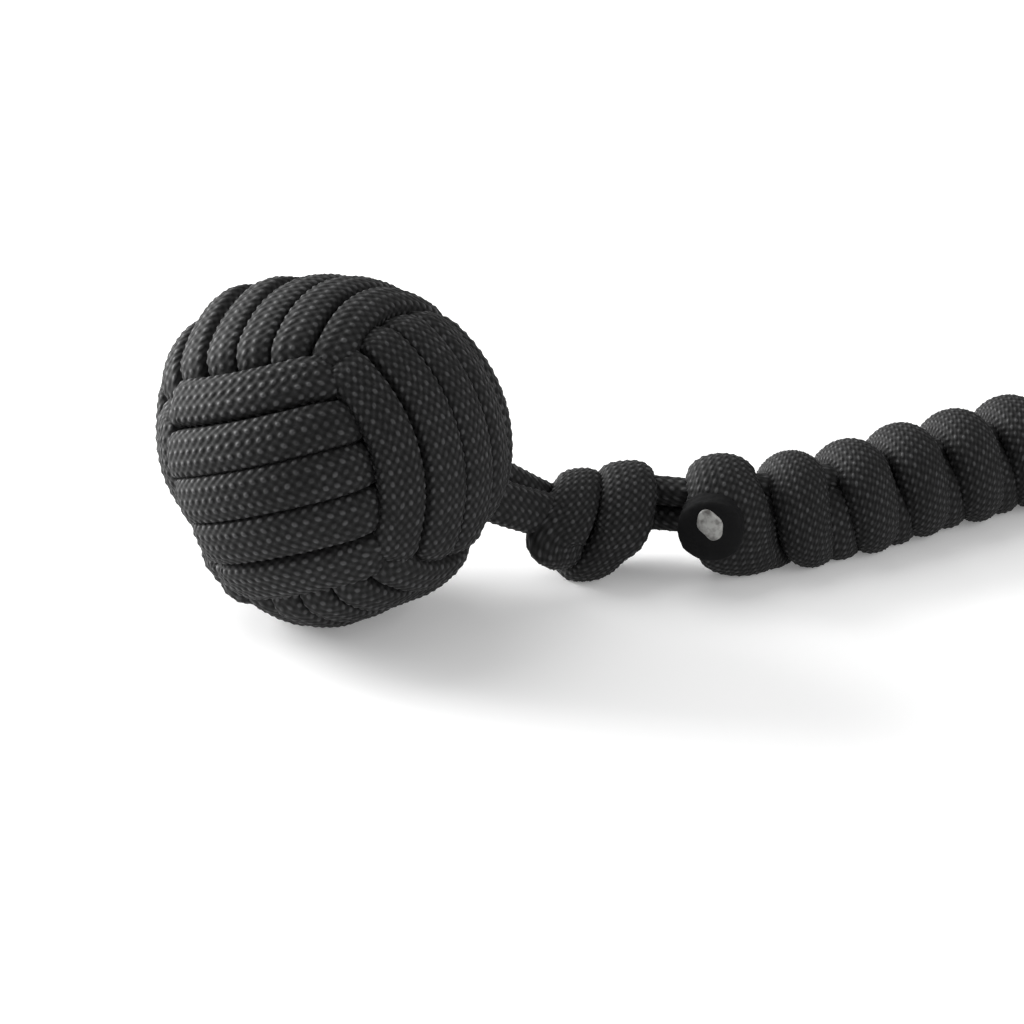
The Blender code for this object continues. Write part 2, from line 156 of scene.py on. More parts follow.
room = bpy.data.worlds.new("white_room")
room.use_nodes = True
bpy.context.scene.world = room
room.node_tree.nodes["Background"].inputs["Color"].default_value = (1, 1, 1, 1)
room.node_tree.nodes["Background"].inputs["Strength"].default_value = ROOM_LIGHT

for name, place, size, power in BOX_LIGHTS:
    box = bpy.data.lights.new(name, "AREA")
    box.shape = "SQUARE"
    box.size = size * MM
    box.energy = power
    holder = bpy.data.objects.new(name, box)
    bpy.context.scene.collection.objects.link(holder)
    holder.location = (fist_centre + Vector(place)) * MM
    holder.rotation_mode = "QUATERNION"
    holder.rotation_quaternion = (-Vector(place)).to_track_quat("-Z", "Y")

bpy.context.scene.view_settings.view_transform = "Standard"


# The eye
# The lanyard ends in a plain bight of its own cord, which leaves the wrapping, droops to the ground and comes
# back into the wrapping. It is a soft nylon cord with a braided sheath, and bends under its own weight.

# The lanyard's course: where it starts, its headings seen from above, and the bend between them
LANYARD_FROM_BALL = Vector((40.4, 1.4, 0))
FIRST_HEADING = -5.0
LAST_HEADING = 19.0
BEND_START = 6.0
BEND_LENGTH = 13.0
CORE_LENGTH = 95.15
# The pair of strands lies over the core's line by the lift, and the eye's ends above and below that
PAIR_LIFT = 1.3
STRAND_RISE = 1.55
EYE_START = -0.3
EYE_SIDE = 6.6
EYE_REACH = 25.6
EYE_HEIGHT = 1.7
EYE_THICKNESS = 3.2
EYE_STEPS = 24
# Shares of the eye's reach, side and droop, from the core's end to the tip and back
EYE_COURSE = ((0.0, 0.0, 0.0), (0.14, 0.16, 0.1), (0.4, 0.85, 0.55), (0.68, 1.0, 0.85), (0.92, 0.62, 1.0),
              (1.0, 0.0, 1.0),
              (0.92, -0.62, 1.0), (0.68, -1.0, 0.85), (0.4, -0.85, 0.55), (0.14, -0.16, 0.1), (0.0, 0.0, 0.0))

# The braid that all the cords share: the size of its stitches, and how uneven they are
STITCH_LENGTH = 1.22
ROW_WIDTH = 1.17
STITCH_LEAN = 0.07
STITCH_HEIGHT = 0.18
UNDER_STITCH_SHARE = 0.4
UNEVENNESS = 0.09
# Two waves make it uneven: millimetres along the cord for a radian, and whole waves round it
LONG_WAVE = 2.9
LONG_WAVES_ROUND = 2
SHORT_WAVE = 1.3
SHORT_WAVES_ROUND = 3
SHORT_WAVE_SHARE = 0.6
SECTION_SAMPLES = 400
# The map in strips: a strip's start and length in shares of the map, its edge and breadth in shares of its
# own room, and the corner of the map that takes the cord's two ends
STRIP_START = 0.01
STRIP_LENGTH = 0.97
STRIP_EDGE = 0.03
STRIP_BREADTH = 0.94
ENDS_START = 0.99
ENDS_SIZE = 0.01
RISE = Vector((0, 0, 1))
AHEAD = Vector((1, 0, 0))


def laid(point):
    """Where a point of the straight lanyard, x along from the core's start, lies on its bent course."""
    first = radians(FIRST_HEADING)
    last = radians(LAST_HEADING)
    before = min(point.x, BEND_START)
    bent_way = min(max(point.x - BEND_START, 0), BEND_LENGTH)
    beyond = max(point.x - BEND_START - BEND_LENGTH, 0)
    half = (last - first) * bent_way / BEND_LENGTH / 2
    chord = bent_way * (sin(half) / half if half else 1)
    heading = first + 2 * half
    x = before * cos(first) + chord * cos(first + half) + beyond * cos(last)
    y = before * sin(first) + chord * sin(first + half) + beyond * sin(last)
    return core_start + Vector((x - sin(heading) * point.y, y + cos(heading) * point.y, point.z))


def smooth_route(route, steps):
    """Points of a smooth curve through a route's own points."""
    points = []
    last = len(route) - 1
    for index in range(last):
        before, start = route[max(index - 1, 0)], route[index]
        end, after = route[index + 1], route[min(index + 2, last)]
        for step in range(steps):
            share = step / steps
            points.append((2 * start + (end - before) * share
                           + (2 * before - 5 * start + 4 * end - after) * share ** 2
                           + (3 * start - before - 3 * end + after) * share ** 3) / 2)
    return points + [route[-1]]


def section_curve(squareness, width, thickness, sides, fine_share):
    """Corners of a flattened cord's section, closer on its outer half, with the way round to each."""
    power = 2 / squareness
    corners = []
    gone = 0.0
    for start, count in ((0, round(sides * fine_share)), (pi, sides - round(sides * fine_share))):
        trail = []
        length = 0.0
        for step in range(SECTION_SAMPLES + 1):
            angle = start + pi * step / SECTION_SAMPLES
            x = copysign(abs(cos(angle)) ** power, cos(angle))
            y = copysign(abs(sin(angle)) ** power, sin(angle))
            if trail:
                length += hypot((x - trail[-1][0]) * width / 2, (y - trail[-1][1]) * thickness / 2)
            trail.append((x, y, length))
        spot = 0
        for step in range(count):
            while trail[spot][2] < length * step / count:
                spot += 1
            corners.append((trail[spot][0], trail[spot][1], gone + trail[spot][2]))
        gone += length
    return corners, gone


def stitch_place(along, rows_over, rows_round, row_shift):
    """How many stitches along the braid a spot lies. No braid is quite even."""
    way_round = 2 * pi * rows_over / rows_round
    uneven = sin(along / LONG_WAVE + LONG_WAVES_ROUND * way_round)
    uneven += SHORT_WAVE_SHARE * sin(along / SHORT_WAVE - SHORT_WAVES_ROUND * way_round)
    return along / STITCH_LENGTH + row_shift * rows_over + UNEVENNESS * uneven


def stitch_height(stitches, rows_over):
    """Height of the braid over its creases, from 0 to 1."""
    leaning = stitches + STITCH_LEAN * sin(pi * rows_over)
    over = cos(pi * leaning) ** 2 * cos(pi * rows_over) ** 2
    under = sin(pi * leaning) ** 2 * sin(pi * rows_over) ** 2
    return over + UNDER_STITCH_SHARE * under


def tube_faces(rings, sides):
    """Faces of a closed tube, ring by ring, and its two ends."""
    faces = []
    for near in range(0, (rings - 1) * sides, sides):
        far = near + sides
        for side in range(sides):
            other = (side + 1) % sides
            faces.append((near + side, far + side, far + other, near + other))
    faces.append(tuple(range(sides)))
    faces.append(tuple(reversed(range((rings - 1) * sides, rings * sides))))
    return faces


def map_cord(data, lengths, rows, girth, row_shift, fineness):
    """Two maps of a cord's mesh: one in millimetres along and round the cord, which the braid follows, and
    one laid out in strips. The faces come in the order of tube_faces."""
    braid_map = data.uv_layers.new(name="along_and_round")
    strip_map = data.uv_layers.new(name="OFBake")
    rows_round = rows[-1]
    sides = len(rows) - 1
    last = len(lengths) - 1
    count = max(1, ceil(sqrt(lengths[-1] / girth)))
    rings_a_strip = ceil(last / count)
    spots = []
    strips = []
    for index in range(last):
        strip = index // rings_a_strip
        first = lengths[strip * rings_a_strip]
        strip_end = lengths[min((strip + 1) * rings_a_strip, last)]
        for side in range(sides):
            for ring, corner in ((index, side), (index + 1, side), (index + 1, side + 1), (index, side + 1)):
                rows_over = rows[corner]
                stitches = stitch_place(lengths[ring] * fineness, rows_over, rows_round, row_shift)
                spots += (stitches * STITCH_LENGTH, rows_over * ROW_WIDTH)
                share = (lengths[ring] - first) / (strip_end - first)
                strips += (STRIP_START + STRIP_LENGTH * share,
                           (strip + STRIP_EDGE + STRIP_BREADTH * rows_over / rows_round) / count)
    for ring in (0, last):
        for corner in range(sides):
            spots += (lengths[ring], rows[corner] * ROW_WIDTH)
            strips += (ENDS_START + ENDS_SIZE * cos(2 * pi * corner / sides) ** 2,
                       ENDS_SIZE * rows[corner] / rows_round)
    braid_map.data.foreach_set("uv", spots)
    strip_map.data.foreach_set("uv", strips)


def lay_cord(name, points, squareness=2.2, row_shift=0.5, sides=48, fine_share=0.6, fineness=1.0):
    """A closed tube of braided sheath. Each point is (place, outward way, width, thickness) in millimetres.
    A squareness of 2 is round, each row starts row_shift stitches after the last, and fine_share of the sides
    are on the outer half. The stitches are counted along the outer side, so the inner side of a bend has them
    pressed together. A cord wound tightly has finer ones."""
    widest = max(points, key=lambda point: point[2])
    section, girth = section_curve(squareness, widest[2], widest[3], sides, fine_share)
    rows_round = 2 * round(girth * fineness / ROW_WIDTH / 2)
    rows = [gone * rows_round / girth for x, y, gone in section] + [rows_round]
    bends = squareness - 1
    corners = []
    lengths = []
    along = 0.0
    last = len(points) - 1
    for index, (place, outward, width, thickness) in enumerate(points):
        ahead = (points[min(index + 1, last)][0] - points[max(index - 1, 0)][0]).normalized()
        out = (outward - ahead * outward.dot(ahead)).normalized()
        across = ahead.cross(out)
        crest = place + out * thickness / 2
        if index:
            along += (crest - last_crest).length
        last_crest = crest
        lengths.append(along)
        for (x, y, gone), rows_over in zip(section, rows):
            slope_x = copysign(abs(x) ** bends, x) / width
            slope_y = copysign(abs(y) ** bends, y) / thickness
            slope = hypot(slope_x, slope_y)
            stitches = stitch_place(along * fineness, rows_over, rows_round, row_shift)
            raised = (stitch_height(stitches, rows_over) - 0.5) * STITCH_HEIGHT
            corner = place + across * (x * width / 2 + slope_x / slope * raised)
            corner += out * (y * thickness / 2 + slope_y / slope * raised)
            corner.z = max(corner.z, 0.0)
            corners.append(corner * MM)
    data = bpy.data.meshes.new(name)
    data.from_pydata(corners, [], tube_faces(len(points), sides))
    map_cord(data, lengths, rows, girth, row_shift, fineness)
    data.shade_smooth()
    data.validate()
    made = bpy.data.objects.new(name, data)
    bpy.context.scene.collection.objects.link(made)
    made.data.materials.append(black_nylon)
    return made


# Black braided nylon: a soft matt sheath of plaited yarn. The stitches that lie over stand up as small round
# dots. Their tops are painted lighter as a painted highlight, the creases between them are painted near black
# as painted shade, and the stitches under them get less of the painted highlight. Each stitch also takes the
# dye a little differently, lighter or darker at random
STITCH_TOP_PAINTED_HIGHLIGHT = "404041"
CREASE_PAINTED_SHADE = "060606"
UNDER_YARN_PAINTED_LIGHT_SHARE = 0.32
DARK_UP_TO = 0.25
LIT_FROM = 0.95
STITCH_VARIATION = 0.65
FIBRE_LENGTH = 1.1
FIBRE_WIDTH = 0.24
FIBRE_DETAIL = 2.0
NOISE_FROM = 0.3
NOISE_TO = 0.7
DARKEST_FIBRE = 0.7
LIGHTEST_FIBRE = 1.15
CREASE_ROUGHNESS = 0.85
YARN_ROUGHNESS = 0.52
YARN_RELIEF = 0.15
YARN_RELIEF_STRENGTH = 0.7
YARN_SHINE = 0.3
NYLON_IOR = 1.5
black_nylon, tree, output = new_material("black_braided_nylon")
places = add_node(tree, "ShaderNodeUVMap", {"uv_map": "along_and_round"})
ways = add_node(tree, "ShaderNodeSeparateXYZ", Vector=places.outputs[0])
row_count = add_node(tree, "ShaderNodeMath", {"operation": "DIVIDE"}, _0=ways.outputs[1], _1=ROW_WIDTH)
half_turn = add_node(tree, "ShaderNodeMath", {"operation": "MULTIPLY"}, _0=row_count.outputs[0], _1=pi)
lean = add_node(tree, "ShaderNodeMath", {"operation": "SINE"}, _0=half_turn.outputs[0])
upright = add_node(tree, "ShaderNodeMath", {"operation": "DIVIDE"}, _0=ways.outputs[0], _1=STITCH_LENGTH)
stitch_count = add_node(tree, "ShaderNodeMath", {"operation": "MULTIPLY_ADD"},
                        _0=lean.outputs[0], _1=STITCH_LEAN, _2=upright.outputs[0])
# For stitches and for rows, how high a stitch that lies over stands there, and one that lies under
waves = []
for counted in (stitch_count, row_count):
    turn = add_node(tree, "ShaderNodeMath", {"operation": "MULTIPLY"}, _0=counted.outputs[0], _1=2 * pi)
    wave = add_node(tree, "ShaderNodeMath", {"operation": "COSINE"}, _0=turn.outputs[0])
    for height in (0.5, -0.5):
        waves.append(add_node(tree, "ShaderNodeMath", {"operation": "MULTIPLY_ADD"},
                              _0=wave.outputs[0], _1=height, _2=0.5))
over = add_node(tree, "ShaderNodeMath", {"operation": "MULTIPLY"},
                _0=waves[0].outputs[0], _1=waves[2].outputs[0])
under = add_node(tree, "ShaderNodeMath", {"operation": "MULTIPLY"},
                 _0=waves[1].outputs[0], _1=waves[3].outputs[0])
braid = add_node(tree, "ShaderNodeMath", {"operation": "MULTIPLY_ADD"},
                 _0=under.outputs[0], _1=UNDER_STITCH_SHARE, _2=over.outputs[0])
# Painted highlight: the tops of the over stitches are painted lighter and the under stitches get a smaller
# share of it, while the creases between them keep the painted shade
lit = add_node(tree, "ShaderNodeMapRange", {"interpolation_type": "SMOOTHSTEP"},
               _0=over.outputs[0], _1=DARK_UP_TO, _2=LIT_FROM)
less_lit = add_node(tree, "ShaderNodeMath", {"operation": "MULTIPLY_ADD"},
                    _0=under.outputs[0], _1=UNDER_YARN_PAINTED_LIGHT_SHARE, _2=lit.outputs[0])
whole = [add_node(tree, "ShaderNodeMath", {"operation": "ROUND"}, _0=counted.outputs[0])
         for counted in (stitch_count, row_count)]
cell = add_node(tree, "ShaderNodeCombineXYZ", _0=whole[0].outputs[0], _1=whole[1].outputs[0])
chance = add_node(tree, "ShaderNodeTexWhiteNoise", {"noise_dimensions": "2D"}, Vector=cell.outputs[0])
own = add_node(tree, "ShaderNodeMapRange",
               _0=chance.outputs[0], _3=1 - STITCH_VARIATION, _4=1 + STITCH_VARIATION / 2)
stretched = add_node(tree, "ShaderNodeMapping",
                     Vector=places.outputs[0], Scale=(1 / FIBRE_LENGTH, 1 / FIBRE_WIDTH, 1))
fibres = add_node(tree, "ShaderNodeTexNoise", {"noise_dimensions": "2D"},
                  Vector=stretched.outputs[0], Scale=1.0, Detail=FIBRE_DETAIL)
streaks = add_node(tree, "ShaderNodeMapRange",
                   _0=fibres.outputs[0], _1=NOISE_FROM, _2=NOISE_TO, _3=DARKEST_FIBRE, _4=LIGHTEST_FIBRE)
varied = add_node(tree, "ShaderNodeMath", {"operation": "MULTIPLY"},
                  _0=less_lit.outputs[0], _1=own.outputs[0])
painted_light_streaked = add_node(tree, "ShaderNodeMath", {"operation": "MULTIPLY", "use_clamp": True},
                    _0=varied.outputs[0], _1=streaks.outputs[0])
# The colour runs from the painted crease shade to the painted highlight on the stitch tops, so the braid's
# light and shade are painted into it
yarn = add_node(tree, "ShaderNodeMix", {"data_type": "RGBA"},
                _0=painted_light_streaked.outputs[0], _6=to_linear(CREASE_PAINTED_SHADE), _7=to_linear(STITCH_TOP_PAINTED_HIGHLIGHT))
dull = add_node(tree, "ShaderNodeMapRange", _0=braid.outputs[0], _3=CREASE_ROUGHNESS, _4=YARN_ROUGHNESS)
raised_yarn = add_node(tree, "ShaderNodeBump",
                       Strength=YARN_RELIEF_STRENGTH, Distance=YARN_RELIEF * MM, Height=braid.outputs[0])
sheath = add_node(tree, "ShaderNodeBsdfPrincipled", Roughness=dull.outputs[0], IOR=NYLON_IOR,
                  Base_Color=yarn.outputs[2], Normal=raised_yarn.outputs[0])
sheath.inputs["Specular IOR Level"].default_value = YARN_SHINE
tree.links.new(sheath.outputs[0], output.inputs["Surface"])

low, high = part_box("core_strand_upper")
core_start = fist_centre + LANYARD_FROM_BALL
core_start.z = (low.z + high.z) / 2 / MM - STRAND_RISE
eye_droop = core_start.z - EYE_HEIGHT
eye_points = []
for count, (reach, side, droop) in enumerate(EYE_COURSE):
    strand = 1 if count < len(EYE_COURSE) / 2 else -1
    height = (strand * STRAND_RISE + PAIR_LIFT) * (1 - droop) - eye_droop * droop
    eye_points.append(laid(Vector((CORE_LENGTH + EYE_START + reach * EYE_REACH, side * EYE_SIDE, height))))
route = smooth_route(eye_points, EYE_STEPS)
eye = lay_cord("eye_bight", [(place, RISE, EYE_THICKNESS, EYE_THICKNESS) for place in route])
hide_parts("eye_loop")
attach(eye, "lanyard")


# The lanyard
# A second cord is wound tightly round the pair, so that each turn is a fat bar across it, and its other part
# shows in the notches between the bars. The pair of cords goes right through to the eye.

# The over turns: their places along the core, and how each steps on to the next underneath
WRAP_FIRST_TURN = 4.97
WRAP_PITCH = 7.85
WRAP_TURNS = 12
WRAP_RADIUS = 4.15
WRAP_WIDTH = 6.6
WRAP_THICKNESS = 5.1
WRAP_ANGLE_STEP = 2.3
WRAP_STEP_SHIFT = 1.97
WRAP_STEP_TURN = 287.0
WRAP_STEP_WIDTH_LESS = 1.2
# The first turn is wider and fatter, and swells on the side of the second
WRAP_FIRST_WIDER = 1.2
WRAP_FIRST_FATTER = 0.35
WRAP_FIRST_UP_TO = 230.0
WRAP_FIRST_FADES_IN = 110.0
WRAP_FIRST_SWELL = 1.6
WRAP_SWELL_FROM = 90.0
WRAP_SWELL_GROWS_IN = 90.0
# The second and the third are pushed on and down
WRAP_PUSHED_ON = 0.6
WRAP_PUSHED_DOWN = 0.35
WRAP_PUSHED_FROM = 250.0
WRAP_PUSHED_GROWS_IN = 150.0
WRAP_PUSHED_UP_TO = 900.0
WRAP_PUSHED_FADES_IN = 300.0
# The under turns in the notches, and how both windings' ends are tucked in
UNDER_RADIUS = 3.5
UNDER_WIDTH = 4.8
UNDER_THICKNESS = 3.0
UNDER_LOWER = 1.7
UNDER_ANGLE_STEP = 3.6
WRAP_TAIL = 172.5
TUCKED_RADIUS_LESS = 2.2
TUCKED_SIZE_SHARE = 0.6
TUCKED_BACK = 2.4
TUCK_ANGLE = 90.0
WOUND_FINENESS = 1.16
WOUND_FINE_SHARE = 0.75
# The pair of strands, and which of them is the upper one
STRANDS = (("upper", 1), ("lower", -1))
STRAND_WIDTH = 3.9
STRAND_THICKNESS = 3.1
STRAND_OFFSET = 1.5
CORE_STEPS = 300


def smooth(share):
    """Rise from 0 to 1 with no corner at either end."""
    share = min(max(share, 0.0), 1.0)
    return share ** 3 * (share * (6 * share - 15) + 10)


def round_the_pair(angle, radius):
    """A point's place round the X axis: 0 is behind, 90 on top and 180 in front."""
    return Vector((0, radius * cos(radians(angle)), radius * sin(radians(angle))))


def wound(first, turns, radius, width, thickness, step, lower=0.0, first_turn=0.0):
    """Points of a winding round the pair, tucked in at both ends. Its first turn's front lies first
    millimetres along. Each turn stands nearly upright where it shows, and steps on to the next underneath.
    Where first_turn is 1, the first is wider and fatter than the others."""
    points = []
    angle = 180 - WRAP_TAIL
    last_angle = 180 + 360 * (turns - 1) + WRAP_TAIL
    while angle <= last_angle:
        from_step = radians(angle - WRAP_STEP_TURN)
        pushed = smooth((angle - WRAP_PUSHED_FROM) / WRAP_PUSHED_GROWS_IN)
        pushed *= 1 - smooth((angle - WRAP_PUSHED_UP_TO) / WRAP_PUSHED_FADES_IN)
        begun = smooth((angle - 180 + WRAP_TAIL) / TUCK_ANGLE)
        left = smooth((last_angle - angle) / TUCK_ANGLE)
        along = first + WRAP_PITCH * (angle - 180) / 360 + WRAP_STEP_SHIFT * sin(from_step)
        along += WRAP_PUSHED_ON * pushed + TUCKED_BACK * (left - begun)
        wide = width - WRAP_STEP_WIDTH_LESS * (1 + cos(from_step)) / 2
        in_first = first_turn * (1 - smooth((angle - WRAP_FIRST_UP_TO) / WRAP_FIRST_FADES_IN))
        swell = WRAP_FIRST_SWELL * smooth((angle - WRAP_SWELL_FROM) / WRAP_SWELL_GROWS_IN) * in_first
        wide += WRAP_FIRST_WIDER * in_first + swell
        tuck = min(begun, left)
        size = TUCKED_SIZE_SHARE + (1 - TUCKED_SIZE_SHARE) * tuck
        middle = AHEAD * (along + swell / 2) - RISE * (lower + WRAP_PUSHED_DOWN * pushed)
        reach = radius + WRAP_FIRST_FATTER * in_first - TUCKED_RADIUS_LESS * (1 - tuck)
        place = laid(middle + round_the_pair(angle, reach))
        points.append((place, (place - laid(middle)).normalized(), wide * size, thickness * size))
        angle += step
    return points


def strand_lift(side):
    """How high a strand of the pair lies over the core's line."""
    return RISE * (STRAND_OFFSET * side + PAIR_LIFT)


def lay_strand(name, route, node, thickness=STRAND_THICKNESS, width=STRAND_WIDTH):
    """A free strand of the pair, which stands for a node."""
    made = lay_cord(name, [(place, RISE, width, thickness) for place in route], sides=40)
    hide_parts(node)
    return made


over_turns = wound(WRAP_FIRST_TURN, WRAP_TURNS, WRAP_RADIUS, WRAP_WIDTH, WRAP_THICKNESS, WRAP_ANGLE_STEP,
                   first_turn=1.0)
wrapping = lay_cord("lanyard_wrapping", over_turns, squareness=2.0, sides=50, fine_share=WOUND_FINE_SHARE,
                    fineness=WOUND_FINENESS)
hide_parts("wrapping_cord")
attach(wrapping, "lanyard")
under_turns = wound(WRAP_FIRST_TURN + WRAP_PITCH / 2, WRAP_TURNS - 1, UNDER_RADIUS, UNDER_WIDTH,
                    UNDER_THICKNESS, UNDER_ANGLE_STEP, lower=UNDER_LOWER)
under_wrapping = lay_cord("lanyard_under_wrapping", under_turns, sides=36, fine_share=WOUND_FINE_SHARE,
                          fineness=WOUND_FINENESS)
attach(under_wrapping, "lanyard")
for half, side in STRANDS:
    lift = strand_lift(side)
    route = [laid(AHEAD * CORE_LENGTH * step / CORE_STEPS + lift) for step in range(CORE_STEPS + 1)]
    core = lay_strand("core_" + half, route, "core_strand_" + half)
    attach(core, "lanyard")


# The cut end
# The wrapping cord's working end comes out beside the first turn. It was cut off short and melted with a
# flame, so the sheath ran together into a black face with the pale bead of its inner strands in it.
CUT_END_TURN = 66.0
CUT_END_FOOT = (2.4, -2.6, 1.2)
CUT_END_FACE = (0.35, -6.9, 1.0)
CUT_END_FALL = -0.05
CUT_END_HANDLE = 1.4
CUT_END_WIDTH = 7.2
CUT_END_SIDES = 48
CUT_END_STEPS = 24
CUT_END_SCORCHED_FROM = 12
# How the stub rounds off past its face: millimetres on, share of its width
RIM = ((0.3, 0.96), (0.5, 0.87), (0.6, 0.74), (0.55, 0.6), (0.3, 0.5))
MELTED_FACE_WIDTH = 7.2
MELTED_FACE_DEPTH = 2.3
BEAD_ASIDE = (0.15, 0, 1.1)
BEAD_PROUD = 0.9
BEAD_WIDTH = 2.6
BEAD_LENGTH = 3.9
BEAD_DEPTH = 1.3
BEAD_LEAN = 32.0
BEAD_LUMPS = 0.07
# Radians for a millimetre across and up, for each of the two waves that make the bead lumpy
BEAD_WAVES = ((2.3, 1.7), (-1.1, 3.1))


def bend_between(start, start_way, end, end_way, steps):
    """Points of a smooth bend from one end to the other."""
    points = []
    for step in range(steps + 1):
        share = step / steps
        rest = 1 - share
        points.append(rest ** 3 * start + 3 * share * rest * rest * (start + start_way)
                      + 3 * share * share * rest * (end - end_way) + share ** 3 * end)
    return points


cut_way = Vector((-cos(radians(CUT_END_TURN)), -sin(radians(CUT_END_TURN)), CUT_END_FALL)).normalized()
cut_face = core_start + Vector(CUT_END_FACE)
route = bend_between(core_start + Vector(CUT_END_FOOT), cut_way * CUT_END_HANDLE,
                     cut_face, cut_way * CUT_END_HANDLE, CUT_END_STEPS)
points = [(place, RISE, CUT_END_WIDTH, CUT_END_WIDTH) for place in route]
for onward, share in RIM:
    points.append((cut_face + cut_way * onward, RISE, CUT_END_WIDTH * share, CUT_END_WIDTH * share))
stub = lay_cord("cut_end_sheath", points, sides=CUT_END_SIDES)
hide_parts("cut_end")
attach(stub, "lanyard")

# Melted nylon: the pale core strands run together in the flame into a smooth, slightly glossy bead with a
# few scorched specks
MELTED_PALE = "A2A29F"
SCORCHED = "5A5856"
SPECK_SIZE = 1.1
PALE_UP_TO = 0.42
SCORCHED_FROM = 0.64
BEAD_RIPPLES = 0.1
BEAD_RIPPLE_STRENGTH = 0.4
BEAD_ROUGHNESS = 0.38
MELTED_IOR = 1.53
melted_nylon, tree, output = new_material("melted_nylon_core")
spot = add_node(tree, "ShaderNodeTexCoord")
patches = add_node(tree, "ShaderNodeTexNoise",
                   Vector=spot.outputs["Object"], Scale=1 / (SPECK_SIZE * MM), Detail=3.0)
scorch = add_node(tree, "ShaderNodeMapRange", _0=patches.outputs[0], _1=PALE_UP_TO, _2=SCORCHED_FROM)
colour = add_node(tree, "ShaderNodeMix", {"data_type": "RGBA"},
                  _0=scorch.outputs[0], _6=to_linear(MELTED_PALE), _7=to_linear(SCORCHED))
ripples = add_node(tree, "ShaderNodeBump",
                   Strength=BEAD_RIPPLE_STRENGTH, Distance=BEAD_RIPPLES * MM, Height=patches.outputs[0])
bead_surface = add_node(tree, "ShaderNodeBsdfPrincipled", Roughness=BEAD_ROUGHNESS, IOR=MELTED_IOR,
                        Base_Color=colour.outputs[2], Normal=ripples.outputs[0])
tree.links.new(bead_surface.outputs[0], output.inputs["Surface"])

# Melted sheath: the black yarn ran together into a smooth, dull skin round the bead
MELTED_BLACK = "101011"
WRINKLE_SIZE = 0.9
WRINKLE_DEPTH = 0.15
WRINKLE_STRENGTH = 0.5
SKIN_ROUGHNESS = (0.75, 0.95)
SKIN_SHINE = 0.15
melted_sheath, tree, output = new_material("melted_black_sheath")
spot = add_node(tree, "ShaderNodeTexCoord")
wrinkles = add_node(tree, "ShaderNodeTexNoise",
                    Vector=spot.outputs["Object"], Scale=1 / (WRINKLE_SIZE * MM), Detail=3.0)
wrinkled = add_node(tree, "ShaderNodeBump",
                    Strength=WRINKLE_STRENGTH, Distance=WRINKLE_DEPTH * MM, Height=wrinkles.outputs[0])
dulled = add_node(tree, "ShaderNodeMapRange",
                  _0=wrinkles.outputs[0], _3=SKIN_ROUGHNESS[0], _4=SKIN_ROUGHNESS[1])
skin = add_node(tree, "ShaderNodeBsdfPrincipled", Roughness=dulled.outputs[0], IOR=NYLON_IOR,
                Base_Color=to_linear(MELTED_BLACK), Normal=wrinkled.outputs[0])
skin.inputs["Specular IOR Level"].default_value = SKIN_SHINE
tree.links.new(skin.outputs[0], output.inputs["Surface"])
stub.data.materials.append(melted_sheath)
for face in stub.data.polygons:
    face.material_index = 1 if face.index >= CUT_END_SCORCHED_FROM * CUT_END_SIDES else 0

facing = cut_way.to_track_quat("Z", "Y")
bpy.ops.object.select_all(action="DESELECT")
bpy.ops.mesh.primitive_uv_sphere_add(segments=48, ring_count=24, radius=MELTED_FACE_WIDTH / 2 * MM,
                                     location=cut_face * MM, rotation=facing.to_euler())
melted_face = bpy.context.object
melted_face.name = "melted_face"
melted_face.scale = (1, 1, MELTED_FACE_DEPTH / MELTED_FACE_WIDTH)
bpy.ops.object.transform_apply(location=True, rotation=True, scale=True)
bpy.ops.object.shade_smooth()
melted_face.data.materials.append(melted_sheath)
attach(melted_face, "lanyard")

bead_place = cut_face + Vector(BEAD_ASIDE) + cut_way * BEAD_PROUD
bead_turn = Matrix.Rotation(radians(BEAD_LEAN), 3, cut_way) @ facing.to_matrix()
bpy.ops.object.select_all(action="DESELECT")
bpy.ops.mesh.primitive_uv_sphere_add(segments=40, ring_count=24, radius=BEAD_WIDTH / 2 * MM,
                                     location=bead_place * MM, rotation=bead_turn.to_euler())
bead = bpy.context.object
bead.name = "melted_bead"
bead.scale = (1, BEAD_LENGTH / BEAD_WIDTH, BEAD_DEPTH / BEAD_WIDTH)
bpy.ops.object.transform_apply(location=True, rotation=True, scale=True)
for corner in bead.data.vertices:
    spot = corner.co / MM
    lump = sum(sin(spot.x * across + spot.z * up) for across, up in BEAD_WAVES)
    corner.co += corner.normal * lump * BEAD_LUMPS * MM
bpy.ops.object.shade_smooth()
bead.data.materials.append(melted_nylon)
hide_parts("melted_tip")
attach(bead, "lanyard")


# The link
# The same two strands again, bare for a few millimetres between the stopper knot and the wrapping.
LINK_LENGTH = 3.5
LINK_HANDLE = 1.2
LINK_INTO_KNOT = 0.5
LINK_INTO_WRAPPING = 0.3
LINK_STEPS = 30
KNOT_BEHIND_BALL = 3.4
low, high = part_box("knot_strand_upper")
knot_height = (low.z + high.z) / 2 / MM - STRAND_RISE
core_way = (laid(AHEAD) - core_start).normalized()
knot_end = Vector((core_start.x - LINK_LENGTH, fist_centre.y + KNOT_BEHIND_BALL, knot_height))
for half, side in STRANDS:
    lift = strand_lift(side)
    start = knot_end + lift - AHEAD * LINK_INTO_KNOT
    end = core_start + lift + core_way * LINK_INTO_WRAPPING
    route = bend_between(start, AHEAD * LINK_HANDLE, end, core_way * LINK_HANDLE, LINK_STEPS)
    link = lay_strand("link_" + half, route, "link_strand_" + half)
    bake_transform(link)


